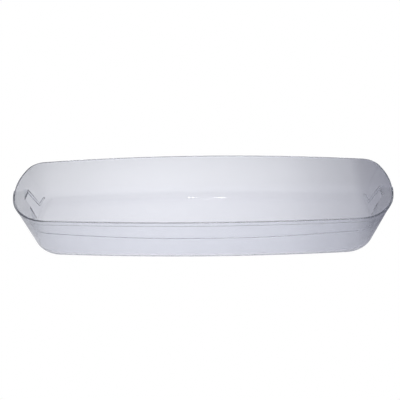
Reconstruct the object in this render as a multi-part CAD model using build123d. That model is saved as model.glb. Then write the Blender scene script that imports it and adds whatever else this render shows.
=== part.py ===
from build123d import *
import math
import os

# Clear one-piece door shelf of a refrigerator: a long shallow tray with flared ends,
# a lip round the front half of its rim, a shallow arched band on the front wall, a
# front skin that stands slightly proud and ends in a hooked edge on each end, and a
# lug channel behind that edge, with a triangular seat and a guide rib.
#
# Frame: millimetres. X runs along the shelf, +Y is the door side, -Y the front,
# +Z is up. The origin is the middle of the underside.

# ---------------------------------------------------------------- driving dimensions
HEIGHT = 62.0            # underside to rim
WALL = 2.0               # wall of the front skin, measured in plan
SKIN = 0.4               # by which the front skin is thicker than the rest of the wall
FLOOR = 2.5              # floor

# outline of the outside at the rim (z = HEIGHT)
RIM_HALF_LENGTH = 219.7  # end apex from the middle
RIM_APEX_Y = -2.25       # where the ends are widest
RIM_END_R = 87.0         # plan radius of the ends
RIM_BACK_Y = 59.85       # middle of the door-side edge
RIM_BACK_R = 2080.0      # its bow
RIM_FRONT_Y = -59.05     # middle of the front edge
RIM_FRONT_R = 3370.0     # its bow
RIM_BACK_CORNER_R = 24.0
RIM_FRONT_CORNER_R = 43.0

# the same outline at the foot (z = 0), before the foot is rounded
FOOT_HALF_LENGTH = 198.8
FOOT_APEX_Y = 4.05
FOOT_END_R = 148.0
FOOT_BACK_Y = 56.6
FOOT_BACK_R = 2440.0
FOOT_FRONT_Y = -56.15
FOOT_FRONT_R = 2590.0
FOOT_BACK_CORNER_R = 17.0
FOOT_FRONT_CORNER_R = 35.0

FOOT_ROUND = 11.5        # outside radius between the walls and the underside

# lip round the front half of the rim
LIP_TALL = 5.2
LIP_PROUD = 0.4
LIP_END_Y = -1.25        # where the lip stops on each end

# shallow band between the lip and an arched line on the front wall
BAND_DEEP = 0.8          # at the middle of the front
BAND_FADE = 1.4          # run of its floor past each end, so that it fades out at the corners
BAND_LINE = [(0.0, 36.5), (90.0, 37.7), (136.0, 39.9), (161.0, 41.2), (182.0, 42.3), (198.0, 43.0), (214.0, 43.6)]

# hooked edge of the front skin on each end, as (Y, Z) on the wall, from the rim down
HOOK_EDGE = [(-1.25, 60.5), (22.25, 41.0), (8.25, 41.0), (6.85, 10.5)]

# seat under the hook: a triangle in plan, deepest at its door-side end
SEAT_TALL = 2.2
SEAT_DEEP = 6.0
SEAT_OVER = 1.0                  # past the tip of the hook

# guide rib behind the channel, and the web in front of it, as (Y, Z) on the wall
RIB = 2.0
RIB_PROUD = (-0.24, 3.75)        # at z = 0 and at the rim: the rib fades downwards
GUIDE = [(22.25, 41.0), (28.15, 13.0), (41.25, 13.0)]
WEB_X = 207.6                    # upright outer edge of the web, which fades upwards

RIM_ROUND = 0.5          # softened rim edges


# ---------------------------------------------------------------- outlines
def meeting(c0, r0, c1, r1, pick):
    """The crossing of two circles that is furthest along pick."""
    dx, dy = c1[0] - c0[0], c1[1] - c0[1]
    d = math.hypot(dx, dy)
    a = (r0 * r0 - r1 * r1 + d * d) / (2 * d)
    h = math.sqrt(r0 * r0 - a * a)
    mx, my = c0[0] + a * dx / d, c0[1] + a * dy / d
    p = (mx - h * dy / d, my + h * dx / d)
    q = (mx + h * dy / d, my - h * dx / d)
    score = lambda s: s[0] * pick[0] + s[1] * pick[1]
    return p if score(p) > score(q) else q


def on_circle(c, r, angle):
    return (c[0] + r * math.cos(angle), c[1] + r * math.sin(angle))


def outline(half, apex_y, end_r, back_y, back_r, front_y, front_r, corner_b, corner_f, grow, z):
    """Closed outline of eight tangent arcs at height z, grown outwards by grow."""
    cb = (0.0, back_y - back_r)
    ce = (half - end_r, apex_y)
    cf = (0.0, front_y + front_r)
    kb = meeting(cb, back_r - corner_b, ce, end_r - corner_b, (1, 1))
    kf = meeting(cf, front_r - corner_f, ce, end_r - corner_f, (1, -1))
    aim = lambda c, p: math.atan2(p[1] - c[1], p[0] - c[0])
    b_end, e_top = aim(cb, kb), aim(ce, kb)
    e_low, f_end = aim(ce, kf), aim(cf, kf)
    rb, re, rf = back_r + grow, end_r + grow, front_r + grow
    kbr, kfr = corner_b + grow, corner_f + grow
    p1 = on_circle(cb, rb, b_end)
    p2 = on_circle(ce, re, e_top)
    p3 = on_circle(ce, re, e_low)
    p4 = on_circle(cf, rf, f_end)
    m_b = on_circle(cb, rb, math.pi / 2)
    m_kb = on_circle(kb, kbr, (b_end + e_top) / 2)
    m_e = on_circle(ce, re, (e_top + e_low) / 2)
    m_kf = on_circle(kf, kfr, (e_low + f_end) / 2)
    m_f = on_circle(cf, rf, -math.pi / 2)
    left = lambda p: (-p[0], p[1])
    up = lambda p: (p[0], p[1], z)
    runs = [
        (left(p1), m_b, p1),
        (p1, m_kb, p2),
        (p2, m_e, p3),
        (p3, m_kf, p4),
        (p4, m_f, left(p4)),
        (left(p4), left(m_kf), left(p3)),
        (left(p3), left(m_e), left(p2)),
        (left(p2), left(m_kb), left(p1)),
    ]
    return Wire([ThreePointArc(up(a), up(m), up(b)) for a, m, b in runs])


def hull(grow, grow_top=None, longer=0.0, set_back=0.0):
    """The whole outside, walls only, grown outwards by grow, or by grow to grow_top, with
    its ends longer and its front set back by the given amounts."""
    grow_top = grow if grow_top is None else grow_top
    low = outline(FOOT_HALF_LENGTH + longer, FOOT_APEX_Y, FOOT_END_R, FOOT_BACK_Y, FOOT_BACK_R,
                  FOOT_FRONT_Y + set_back, FOOT_FRONT_R, FOOT_BACK_CORNER_R, FOOT_FRONT_CORNER_R, grow, 0.0)
    top = outline(RIM_HALF_LENGTH + longer, RIM_APEX_Y, RIM_END_R, RIM_BACK_Y, RIM_BACK_R,
                  RIM_FRONT_Y + set_back, RIM_FRONT_R, RIM_BACK_CORNER_R, RIM_FRONT_CORNER_R, grow_top, HEIGHT)
    return Solid.make_loft([low, top], ruled=True)


def block(x0, x1, y0, y1, z0, z1):
    return Pos((x0 + x1) / 2, (y0 + y1) / 2, (z0 + z1) / 2) * Box(x1 - x0, y1 - y0, z1 - z0)


# ---------------------------------------------------------------- tray
def rounded(grow):
    """The outside as a full block with its foot rounded."""
    whole = Part() + hull(grow)
    return fillet(whole.faces().sort_by(Axis.Z)[0].edges(), FOOT_ROUND + grow)


def plate(points, reach):
    """A plate with the given (Y, Z) outline, through both ends."""
    pts = [(0, y, z) for y, z in points]
    face = Face(Wire([Line(pts[i], pts[(i + 1) % len(pts)]) for i in range(len(pts))]))
    return extrude(face, amount=reach, dir=(1, 0, 0), both=True)


rim_point, hook_tip, hook_root, edge_low = HOOK_EDGE
front_zone = plate([(-150, -5), (edge_low[0], -5), edge_low, hook_root, hook_tip, rim_point,
                    (rim_point[0], HEIGHT + 5), (-150, HEIGHT + 5)], 300)
back_zone = block(-300, 300, -149, 149, -4, HEIGHT + 4) - front_zone
tray = (rounded(0.0) & front_zone) + (rounded(-SKIN) & back_zone)

inside = (Part() + hull(-WALL)) & block(-300, 300, -150, 150, FLOOR, HEIGHT + 1)
inside_edges = inside.faces().sort_by(Axis.Z)[0].edges()
inside = fillet(inside_edges, FOOT_ROUND - WALL)

# ---------------------------------------------------------------- lip
lip = (Part() + hull(LIP_PROUD)) & block(-300, 300, -150, LIP_END_Y, HEIGHT - LIP_TALL, HEIGHT)

# ---------------------------------------------------------------- arched band
right = [(x, 0.0, z) for x, z in BAND_LINE]
left_pts = [(-x, 0.0, z) for x, z in reversed(BAND_LINE[1:])]
arch = Spline(*(left_pts + right))
band_x, band_z, band_top = BAND_LINE[-1][0], BAND_LINE[-1][1], HEIGHT - LIP_TALL
lid = [(band_x, 0.0, band_z), (band_x, 0.0, band_top), (-band_x, 0.0, band_top), (-band_x, 0.0, band_z)]
band_face = Face(Wire([arch] + [Line(lid[i], lid[i + 1]) for i in range(3)]))
band_prism = extrude(band_face, amount=140, dir=(0, -1, 0))
band_floor = Part() + hull(0.0, longer=BAND_FADE, set_back=BAND_DEEP)
band = (band_prism - band_floor) & block(-300, 300, -150, -25, 0, HEIGHT)


# ---------------------------------------------------------------- ribs of the ends
def bar(a, b, thick):
    """A straight bar between two (Y, Z) points, thick across, through both ends' walls."""
    dy, dz = b[0] - a[0], b[1] - a[1]
    run = math.hypot(dy, dz)
    ny, nz = -dz / run * thick / 2, dy / run * thick / 2
    pts = [(0, a[0] + ny, a[1] + nz), (0, b[0] + ny, b[1] + nz),
           (0, b[0] - ny, b[1] - nz), (0, a[0] - ny, a[1] - nz)]
    face = Face(Wire([Line(pts[i], pts[(i + 1) % 4]) for i in range(4)]))
    return extrude(face, amount=245, dir=(1, 0, 0), both=True)


def wall_x(y, z):
    """Half-length of the outside at a place on the ends."""
    top = RIM_HALF_LENGTH - RIM_END_R + math.sqrt(RIM_END_R ** 2 - (y - RIM_APEX_Y) ** 2)
    low = FOOT_HALF_LENGTH - FOOT_END_R + math.sqrt(FOOT_END_R ** 2 - (y - FOOT_APEX_Y) ** 2)
    return low + (top - low) * z / HEIGHT


tip_y, seat_z = hook_tip[0] + SEAT_OVER, hook_tip[1]
tip_x, root_x = wall_x(tip_y, seat_z), wall_x(hook_root[0], seat_z)
corners = [(root_x - 1.2, hook_root[0] - 1.0), (root_x + 0.3, hook_root[0] - 1.0),
           (tip_x + SEAT_DEEP, tip_y), (tip_x - 1.2, tip_y)]
seat_face = Face(Wire([Line((*corners[i], seat_z - SEAT_TALL / 2), (*corners[(i + 1) % 4], seat_z - SEAT_TALL / 2))
                       for i in range(4)]))
seat = extrude(seat_face, amount=SEAT_TALL, dir=(0, 0, 1))
seat = seat + mirror(seat, about=Plane.YZ)
guide = (
    bar(GUIDE[0], (GUIDE[1][0], GUIDE[1][1] - RIB / 2), RIB)
    + bar((GUIDE[1][0] - RIB / 2, GUIDE[1][1]), GUIDE[2], RIB)
) & hull(*RIB_PROUD)
web = bar(hook_root, edge_low, RIB) & block(-WEB_X, WEB_X, -150, 150, 0, HEIGHT)

# ---------------------------------------------------------------- one moulding
shelf = tray + lip
shelf = shelf - band
shelf = shelf + seat + guide + web
shelf = shelf - inside
rim_edges = [e for e in shelf.edges() if e.bounding_box().min.Z > HEIGHT - 0.001]
shelf = fillet(rim_edges, RIM_ROUND)

os.makedirs("parts", exist_ok=True)
print("solids", len(shelf.solids()), "volume", shelf.volume, "valid", shelf.is_valid)
print("box", shelf.bounding_box())
export_step(shelf, "parts/door_shelf.step")
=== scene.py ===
import math

import bpy
from mathutils import Matrix, Vector

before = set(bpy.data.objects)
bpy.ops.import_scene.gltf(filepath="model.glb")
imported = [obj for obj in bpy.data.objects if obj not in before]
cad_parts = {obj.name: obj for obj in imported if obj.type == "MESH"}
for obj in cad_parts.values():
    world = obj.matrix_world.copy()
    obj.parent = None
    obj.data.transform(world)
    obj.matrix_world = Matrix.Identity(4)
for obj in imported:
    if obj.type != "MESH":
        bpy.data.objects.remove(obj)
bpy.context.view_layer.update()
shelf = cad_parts["door_shelf"]

scene = bpy.context.scene
scene.view_settings.view_transform = "Standard"
scene.view_settings.look = "None"
scene.view_settings.exposure = 0.0
scene.view_settings.gamma = 1.0
scene.cycles.max_bounces = 256
scene.cycles.transmission_bounces = 256
scene.cycles.glossy_bounces = 256
scene.cycles.transparent_max_bounces = 48
scene.cycles.diffuse_bounces = 4


# the hooked edge of the front skin on the ends, as (Y, Z) in metres, from the part
HOOK_TOP = (-0.00125, 0.0605)
HOOK_TIP = (0.02225, 0.0410)
HOOK_ROOT_Y = 0.0078
HOOK_RUN = (HOOK_TIP[0] - HOOK_TOP[0]) / (HOOK_TOP[1] - HOOK_TIP[1])

# painted shade on the floor from left to right, darker and bluer past the ends, as (X, value, how blue)
FLOOR_SHADE_STOPS = [(-0.30, 0.50, 1.02), (-0.235, 0.60, 1.03), (-0.195, 0.76, 1.02), (-0.10, 0.80, 1.025), (0.0, 0.84, 1.025),
               (0.10, 0.92, 1.03), (0.186, 0.82, 1.05), (0.200, 0.64, 1.08), (0.235, 0.42, 1.18), (0.30, 0.35, 1.21)]
FLOOR_SHADE_BEHIND = (0.97, 0.91)      # painted shade: how much darker the floor is painted behind the shelf, on the left and on the right

# the lower edge of the lip, in metres, and the bow of the front wall
LIP_LOW = 0.0568
FRONT_Y = -0.0588
FRONT_BOW = 1.0 / (2.0 * 3.37)


# ------------------------------------------------------------------ materials
def math_node(nt, kind, a, b):
    """A math node of two inputs, each a socket or a number."""
    node = nt.nodes.new("ShaderNodeMath")
    node.operation = kind
    for i, v in enumerate((a, b)):
        if isinstance(v, (int, float)):
            node.inputs[i].default_value = v
        else:
            nt.links.new(v, node.inputs[i])
    return node.outputs[0]


def fade_node(nt, value, low, high, to_low=0.0, to_high=1.0, kind="SMOOTHSTEP"):
    node = nt.nodes.new("ShaderNodeMapRange")
    node.interpolation_type = kind
    node.inputs["From Min"].default_value = low
    node.inputs["From Max"].default_value = high
    node.inputs["To Min"].default_value = to_low
    node.inputs["To Max"].default_value = to_high
    nt.links.new(value, node.inputs["Value"])
    return node.outputs["Result"]


def noise_node(nt, vector, scale, detail):
    node = nt.nodes.new("ShaderNodeTexNoise")
    node.inputs["Scale"].default_value = scale
    node.inputs["Detail"].default_value = detail
    nt.links.new(vector, node.inputs["Vector"])
    return node.outputs["Fac"]


def clear_plastic():
    """Clear moulded styrene: a faint blue-grey body, painted shade on the front skin towards the ends,
    a painted shade line under the lip, a painted paler rim top, gentle waviness left by the mould, and light scuffs
    on the floor."""
    mat = bpy.data.materials.new("clear_plastic")
    mat.use_nodes = True
    nt = mat.node_tree
    nt.nodes.clear()
    out = nt.nodes.new("ShaderNodeOutputMaterial")
    skin = nt.nodes.new("ShaderNodeBsdfPrincipled")
    skin.inputs["IOR"].default_value = 1.57
    skin.inputs["Transmission Weight"].default_value = 1.0

    place = nt.nodes.new("ShaderNodeTexCoord").outputs["Object"]
    axes = nt.nodes.new("ShaderNodeSeparateXYZ")
    nt.links.new(place, axes.inputs["Vector"])
    x, y, z = axes.outputs["X"], axes.outputs["Y"], axes.outputs["Z"]

    # painted shade: the front skin on the ends, up to its hooked edge, is painted greyer towards the ends
    slope = math_node(nt, "ADD", y, math_node(nt, "MULTIPLY", z, HOOK_RUN))
    upper = math_node(nt, "LESS_THAN", slope, HOOK_TOP[0] + HOOK_TOP[1] * HOOK_RUN)
    lower = math_node(nt, "LESS_THAN", y, HOOK_ROOT_Y)
    above = math_node(nt, "GREATER_THAN", z, HOOK_TIP[1])
    front = math_node(nt, "ADD", math_node(nt, "MULTIPLY", above, upper),
                      math_node(nt, "MULTIPLY", math_node(nt, "SUBTRACT", 1.0, above), lower))
    far_out = fade_node(nt, math_node(nt, "ABSOLUTE", x, 0.0), 0.150, 0.205)
    raised = fade_node(nt, z, 0.006, 0.016)
    painted_end_shade = math_node(nt, "MULTIPLY", math_node(nt, "MULTIPLY", front, far_out), raised)
    # the body tint, with the painted end shade mixed in
    tint_and_end_shade = nt.nodes.new("ShaderNodeMix")
    tint_and_end_shade.data_type = "RGBA"
    tint_and_end_shade.inputs[6].default_value = (0.905, 0.916, 0.949, 1.0)
    tint_and_end_shade.inputs[7].default_value = (0.79, 0.80, 0.825, 1.0)
    nt.links.new(painted_end_shade, tint_and_end_shade.inputs[0])

    # painted shade: a narrow dark line along the lower edge of the lip, on the outside only
    bow = math_node(nt, "MULTIPLY", math_node(nt, "MULTIPLY", x, x), FRONT_BOW)
    inwards = math_node(nt, "SUBTRACT", math_node(nt, "SUBTRACT", y, FRONT_Y), bow)
    outside = fade_node(nt, inwards, 0.0012, 0.0006)
    off_edge = math_node(nt, "ABSOLUTE", math_node(nt, "SUBTRACT", z, LIP_LOW + 0.0002), 0.0)
    lip_shade_mask = math_node(nt, "MULTIPLY", fade_node(nt, off_edge, 0.0007, 0.0003), outside)
    lip_shade_line = nt.nodes.new("ShaderNodeMix")
    lip_shade_line.data_type = "RGBA"
    lip_shade_line.inputs[7].default_value = (0.48, 0.485, 0.505, 1.0)
    nt.links.new(lip_shade_mask, lip_shade_line.inputs[0])
    nt.links.new(tint_and_end_shade.outputs[2], lip_shade_line.inputs[6])

    # painted light: the top of the thin rim is painted paler, except round the ends
    rim_light_mask = math_node(nt, "MULTIPLY", fade_node(nt, z, 0.0596, 0.0606), math_node(nt, "SUBTRACT", 1.0, far_out))
    rim_painted_light = nt.nodes.new("ShaderNodeMix")
    rim_painted_light.data_type = "RGBA"
    rim_painted_light.inputs[7].default_value = (0.95, 0.965, 1.0, 1.0)
    nt.links.new(rim_light_mask, rim_painted_light.inputs[0])
    nt.links.new(lip_shade_line.outputs[2], rim_painted_light.inputs[6])
    nt.links.new(rim_painted_light.outputs[2], skin.inputs["Base Color"])

    # polish: even on the walls, with scuffs drawn along the floor and a rim dulled by handling
    stretch = nt.nodes.new("ShaderNodeMapping")
    stretch.inputs["Scale"].default_value = (45.0, 900.0, 45.0)
    stretch.inputs["Rotation"].default_value = (0.0, 0.0, 0.3)
    nt.links.new(place, stretch.inputs["Vector"])
    scuffs = fade_node(nt, noise_node(nt, stretch.outputs["Vector"], 1.0, 2.0), 0.62, 0.72)
    on_floor = fade_node(nt, z, 0.010, 0.003)
    worn = math_node(nt, "MULTIPLY", math_node(nt, "MULTIPLY", scuffs, on_floor), 0.10)
    polish = fade_node(nt, noise_node(nt, place, 70.0, 3.0), 0.3, 0.7, 0.02, 0.045, "LINEAR")
    rim = math_node(nt, "MULTIPLY", fade_node(nt, z, 0.0606, 0.0614), 0.22)
    nt.links.new(math_node(nt, "ADD", math_node(nt, "ADD", polish, worn), rim), skin.inputs["Roughness"])

    # waviness left by the mould, with a fine grain over it
    waves = nt.nodes.new("ShaderNodeBump")
    waves.inputs["Strength"].default_value = 0.12
    waves.inputs["Distance"].default_value = 0.00012
    nt.links.new(noise_node(nt, place, 24.0, 1.0), waves.inputs["Height"])
    grain = nt.nodes.new("ShaderNodeBump")
    grain.inputs["Strength"].default_value = 0.08
    grain.inputs["Distance"].default_value = 0.000006
    nt.links.new(noise_node(nt, place, 420.0, 2.0), grain.inputs["Height"])
    nt.links.new(waves.outputs["Normal"], grain.inputs["Normal"])
    nt.links.new(grain.outputs["Normal"], skin.inputs["Normal"])

    # light that falls through it leaves only a faint shadow
    facing = nt.nodes.new("ShaderNodeLayerWeight")
    facing.inputs["Blend"].default_value = 0.5
    pass_on = nt.nodes.new("ShaderNodeValToRGB")
    pass_on.color_ramp.elements[0].position = 0.0
    pass_on.color_ramp.elements[0].color = (0.97, 0.97, 0.98, 1.0)
    pass_on.color_ramp.elements[1].position = 1.0
    pass_on.color_ramp.elements[1].color = (0.75, 0.75, 0.77, 1.0)
    half = pass_on.color_ramp.elements.new(0.6)
    half.color = (0.9, 0.9, 0.92, 1.0)
    shade = nt.nodes.new("ShaderNodeBsdfTransparent")
    nt.links.new(facing.outputs["Facing"], pass_on.inputs["Fac"])
    nt.links.new(pass_on.outputs["Color"], shade.inputs["Color"])
    ray = nt.nodes.new("ShaderNodeLightPath")
    mix = nt.nodes.new("ShaderNodeMixShader")
    nt.links.new(ray.outputs["Is Shadow Ray"], mix.inputs["Fac"])
    nt.links.new(skin.outputs["BSDF"], mix.inputs[1])
    nt.links.new(shade.outputs["BSDF"], mix.inputs[2])
    nt.links.new(mix.outputs["Shader"], out.inputs["Surface"])
    body = nt.nodes.new("ShaderNodeVolumeAbsorption")
    body.inputs["Color"].default_value = (0.5, 0.53, 0.62, 1.0)
    body.inputs["Density"].default_value = 3.0
    nt.links.new(body.outputs["Volume"], out.inputs["Volume"])
    return mat


def floor_white_painted_shade():
    """White where it is seen directly, and a lit pale grey where it is seen through the plastic or mirrored in it,
    with painted shade that darkens it past the ends of the shelf and behind it."""
    mat = bpy.data.materials.new("floor_white_painted_shade")
    mat.use_nodes = True
    nt = mat.node_tree
    out = nt.nodes["Material Output"]
    skin = nt.nodes["Principled BSDF"]
    skin.inputs["Roughness"].default_value = 0.9
    skin.inputs["Specular IOR Level"].default_value = 0.0
    axes = nt.nodes.new("ShaderNodeSeparateXYZ")
    nt.links.new(nt.nodes.new("ShaderNodeTexCoord").outputs["Object"], axes.inputs["Vector"])
    # painted shade across the floor: darker and bluer past the ends of the shelf
    across = nt.nodes.new("ShaderNodeMapRange")
    across.inputs["From Min"].default_value = -0.4
    across.inputs["From Max"].default_value = 0.4
    nt.links.new(axes.outputs["X"], across.inputs["Value"])
    ramp = nt.nodes.new("ShaderNodeValToRGB")
    shade_stops = FLOOR_SHADE_STOPS
    ramp.color_ramp.elements[0].position = (shade_stops[0][0] + 0.4) / 0.8
    ramp.color_ramp.elements[1].position = (shade_stops[-1][0] + 0.4) / 0.8
    for where, _, _ in shade_stops[1:-1]:
        ramp.color_ramp.elements.new((where + 0.4) / 0.8)
    for i, (_, v, blue) in enumerate(shade_stops):
        ramp.color_ramp.elements[i].color = (v, v * 1.006, v * blue, 1.0)
    nt.links.new(across.outputs["Result"], ramp.inputs["Fac"])
    # painted shade behind the shelf, deeper on the right
    there = fade_node(nt, axes.outputs["Y"], 0.062, 0.085)
    behind_shade = fade_node(nt, axes.outputs["X"], -0.18, 0.18, 1.0 - FLOOR_SHADE_BEHIND[0], 1.0 - FLOOR_SHADE_BEHIND[1], "LINEAR")
    keep = math_node(nt, "SUBTRACT", 1.0, math_node(nt, "MULTIPLY", there, behind_shade))
    shaded_floor = nt.nodes.new("ShaderNodeVectorMath")
    shaded_floor.operation = "SCALE"
    nt.links.new(ramp.outputs["Color"], shaded_floor.inputs[0])
    nt.links.new(keep, shaded_floor.inputs["Scale"])
    nt.links.new(shaded_floor.outputs["Vector"], skin.inputs["Base Color"])
    plain = nt.nodes.new("ShaderNodeEmission")
    plain.inputs["Color"].default_value = (1.0, 1.0, 1.0, 1.0)
    plain.inputs["Strength"].default_value = 1.0
    ray = nt.nodes.new("ShaderNodeLightPath")
    mix = nt.nodes.new("ShaderNodeMixShader")
    nt.links.new(ray.outputs["Is Camera Ray"], mix.inputs["Fac"])
    nt.links.new(skin.outputs["BSDF"], mix.inputs[1])
    nt.links.new(plain.outputs["Emission"], mix.inputs[2])
    nt.links.new(mix.outputs["Shader"], out.inputs["Surface"])
    return mat


plastic = clear_plastic()
for s in shelf.material_slots:
    s.material = plastic
shelf.visible_diffuse = False

# ------------------------------------------------------------------ floor
side = 4.0
mesh = bpy.data.meshes.new("floor")
mesh.from_pydata([(-side, -side, -0.0004), (side, -side, -0.0004), (side, side, -0.0004), (-side, side, -0.0004)], [], [(0, 1, 2, 3)])
floor = bpy.data.objects.new("floor", mesh)
floor.data.materials.append(floor_white_painted_shade())
scene.collection.objects.link(floor)


# a dark card to the right, out of the picture, which shades that side
card_mat = bpy.data.materials.new("card_dark")
card_mat.use_nodes = True
card_mat.node_tree.nodes["Principled BSDF"].inputs["Base Color"].default_value = (0.05, 0.05, 0.055, 1.0)
card_mat.node_tree.nodes["Principled BSDF"].inputs["Roughness"].default_value = 0.9
mesh = bpy.data.meshes.new("card")
mesh.from_pydata([(0.36, -0.6, 0.0), (0.36, 0.6, 0.0), (0.36, 0.6, 0.5), (0.36, -0.6, 0.5)], [], [(0, 1, 2, 3)])
card = bpy.data.objects.new("card", mesh)
card.data.materials.append(card_mat)
scene.collection.objects.link(card)
card.visible_camera = False


# ------------------------------------------------------------------ lights
def area(name, at, aim, wide, tall, power):
    data = bpy.data.lights.new(name, "AREA")
    data.shape = "RECTANGLE"
    data.size = wide
    data.size_y = tall
    data.energy = power
    lamp = bpy.data.objects.new(name, data)
    lamp.location = at
    lamp.rotation_euler = (Vector(aim) - Vector(at)).to_track_quat("-Z", "Y").to_euler()
    scene.collection.objects.link(lamp)
    return lamp


key = area("overhead", (-0.06, 0.03, 0.30), (-0.06, 0.03, 0), 0.2, 0.2, 0.84)
key.data.color = (1.0, 0.99, 0.97)
key.visible_camera = False
key.visible_glossy = False
key.visible_transmission = False


# small lamps that only leave glints
def glint(name, at, aim, wide, tall, power):
    lamp = area(name, at, aim, wide, tall, power)
    lamp.visible_camera = False
    lamp.visible_diffuse = False
    lamp.visible_transmission = False
    return lamp


for name, at, wide, power in (("glint_left", (-0.050, 0.14, 1.25), 0.005, 0.25), ("glint_right", (0.003, 0.24, 1.25), 0.014, 1.00)):
    lamp = glint(name, at, (0, 0, 0), wide, 0.25, power)
    lamp.rotation_euler = (0, 0, 0)

world = bpy.data.worlds.new("studio")
world.use_nodes = True
nt = world.node_tree
where = nt.nodes.new("ShaderNodeTexCoord")
split = nt.nodes.new("ShaderNodeSeparateXYZ")
fade = nt.nodes.new("ShaderNodeMapRange")
fade.inputs["From Min"].default_value = -1.0
fade.inputs["From Max"].default_value = 1.0
fade.inputs["To Min"].default_value = 0.68
fade.inputs["To Max"].default_value = 0.25
nt.links.new(where.outputs["Generated"], split.inputs["Vector"])
nt.links.new(split.outputs["X"], fade.inputs["Value"])
sky = nt.nodes["Background"]
sky.inputs["Color"].default_value = (0.94, 0.945, 1.0, 1.0)
nt.links.new(fade.outputs["Result"], sky.inputs["Strength"])
scene.world = world

# ------------------------------------------------------------------ camera
at = Vector((0.02653, -0.88733, 0.84226))
target = Vector((-0.004924, 0.047943, 0.000413))
roll = math.radians(-1.887)
ahead = (target - at).normalized()
right = ahead.cross(Vector((0, 0, 1))).normalized()
up = right.cross(ahead)
cam_right = math.cos(roll) * right + math.sin(roll) * up
cam_up = -math.sin(roll) * right + math.cos(roll) * up
cam = bpy.data.cameras.new("camera")
cam.sensor_fit = "HORIZONTAL"
cam.sensor_width = 36.0
cam.lens = 91.62
cam.clip_start = 0.05
cam.clip_end = 30.0
camera = bpy.data.objects.new("camera", cam)
camera.matrix_world = Matrix((
    (cam_right.x, cam_up.x, -ahead.x, at.x),
    (cam_right.y, cam_up.y, -ahead.y, at.y),
    (cam_right.z, cam_up.z, -ahead.z, at.z),
    (0, 0, 0, 1),
))
scene.collection.objects.link(camera)
scene.camera = camera
